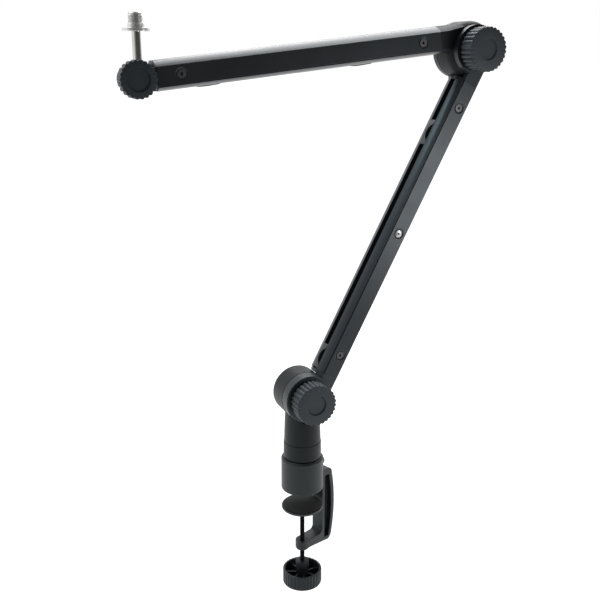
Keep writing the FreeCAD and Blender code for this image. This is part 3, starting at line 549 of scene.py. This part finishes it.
def soft_box(name, place, target, width, height, radiance, colour):
    """Rectangular lamp that faces a point, by the brightness of its face."""
    lamp = bpy.data.lights.new(name, "AREA")
    lamp.color = colour
    lamp.shape = "RECTANGLE"
    lamp.size = width
    lamp.size_y = height
    lamp.energy = radiance * math.pi * width * height
    piece = bpy.data.objects.new(name, lamp)
    piece.location = place
    piece.rotation_euler = (Vector(target) - Vector(place)).to_track_quat("-Z", "Y").to_euler()
    bpy.context.scene.collection.objects.link(piece)


def combined(tree, operation, first, second):
    """Two values worked into one."""
    node = tree.nodes.new("ShaderNodeMath")
    node.operation = operation
    tree.links.new(first, node.inputs[0])
    tree.links.new(second, node.inputs[1])
    return node.outputs[0]


def along(tree, direction, side):
    """How far a direction points to a side."""
    node = tree.nodes.new("ShaderNodeVectorMath")
    node.operation = "DOT_PRODUCT"
    node.inputs[1].default_value = side
    tree.links.new(direction, node.inputs[0])
    return node.outputs["Value"]


def seen_directly(tree):
    """1 for what the camera sees, straight or in a mirror or glass."""
    path = tree.nodes.new("ShaderNodeLightPath")
    total = path.outputs["Is Camera Ray"]
    for name in ("Is Glossy Ray", "Is Transmission Ray"):
        total = combined(tree, "MAXIMUM", total, path.outputs[name])
    return total


def studio_walls():
    """World: white behind the part, darker in front of it, under a grey ceiling."""
    world = bpy.data.worlds.new("studio_walls")
    bpy.context.scene.world = world
    world.use_nodes = True
    tree = world.node_tree
    tree.nodes.clear()
    direction = tree.nodes.new("ShaderNodeTexCoord").outputs["Generated"]
    facing = along(tree, direction, wall_dark_side)
    height = along(tree, direction, ceiling_side)
    level = carry_over(tree, facing, wall_fade, wall_levels, "SMOOTHSTEP")
    ceiling = carry_over(tree, height, ceiling_fade, ceiling_levels, "SMOOTHSTEP")
    background = tree.nodes.new("ShaderNodeBackground")
    tree.links.new(ceiling, background.inputs["Color"])
    tree.links.new(level, background.inputs["Strength"])
    output = tree.nodes.new("ShaderNodeOutputWorld")
    tree.links.new(background.outputs["Background"], output.inputs["Surface"])


def floor_finish():
    """Pale floor with the part's shadow on it, a painted glow that grows farther off, and darker
    far in front.
    """
    material = bpy.data.materials.new("floor_white")
    material.use_nodes = True
    tree = material.node_tree
    tree.nodes.clear()
    place = tree.nodes.new("ShaderNodeTexCoord").outputs["Object"]
    across = tree.nodes.new("ShaderNodeSeparateXYZ")
    tree.links.new(place, across.inputs["Vector"])
    tone = carry_over(tree, across.outputs["Y"], floor_front, floor_tones, "SMOOTHSTEP")
    distance = tree.nodes.new("ShaderNodeVectorMath")
    distance.operation = "LENGTH"
    tree.links.new(place, distance.inputs[0])
    away = distance.outputs["Value"]
    lift = carry_over(tree, away, floor_shadow_reach, floor_painted_glow, "SMOOTHSTEP")
    matt = tree.nodes.new("ShaderNodeBsdfDiffuse")
    tree.links.new(tone, matt.inputs["Color"])
    painted_glow_shader = tree.nodes.new("ShaderNodeEmission")
    tree.links.new(tone, painted_glow_shader.inputs["Color"])
    # Painted light: the floor glows for straight and mirrored rays, weakly near the part so its
    # shadow stays, more strongly farther off
    share = combined(tree, "MULTIPLY", seen_directly(tree), lift)
    tree.links.new(share, painted_glow_shader.inputs["Strength"])
    both = tree.nodes.new("ShaderNodeAddShader")
    tree.links.new(matt.outputs["BSDF"], both.inputs[0])
    tree.links.new(painted_glow_shader.outputs["Emission"], both.inputs[1])
    output = tree.nodes.new("ShaderNodeOutputMaterial")
    tree.links.new(both.outputs["Shader"], output.inputs["Surface"])
    return material


def white_floor():
    """Floor that the clamp knob clears at its lowest."""
    mesh = bpy.data.meshes.new("floor")
    form = bmesh.new()
    bmesh.ops.create_grid(form, x_segments=1, y_segments=1, size=floor_size)
    bmesh.ops.translate(form, verts=form.verts, vec=(0, 0, cad_box[0].z - floor_drop))
    form.to_mesh(mesh)
    form.free()
    mesh.materials.append(floor_finish())
    floor = bpy.data.objects.new("floor", mesh)
    bpy.context.scene.collection.objects.link(floor)


def photo_camera():
    """Camera at the photograph's place."""
    lens = bpy.data.cameras.new("photo_camera")
    lens.sensor_width = camera_sensor
    lens.lens = camera_lens
    lens.clip_start = camera_near
    piece = bpy.data.objects.new("photo_camera", lens)
    piece.location = camera_place
    piece.rotation_euler = (math.radians(camera_pitch), 0, math.radians(camera_heading))
    bpy.context.scene.collection.objects.link(piece)
    bpy.context.scene.camera = piece


dress_nodes()
ease_solids()
for name in socketed_screws:
    sink_sockets(name)
for name, measures in knob_forms.items():
    scalloped_knob(name, *measures)
threaded_clamp_screw()
threaded_adapter()

bpy.context.scene.view_settings.view_transform = "Standard"
studio_walls()
white_floor()
photo_camera()
for name, setting in lamps.items():
    soft_box(name, *setting)
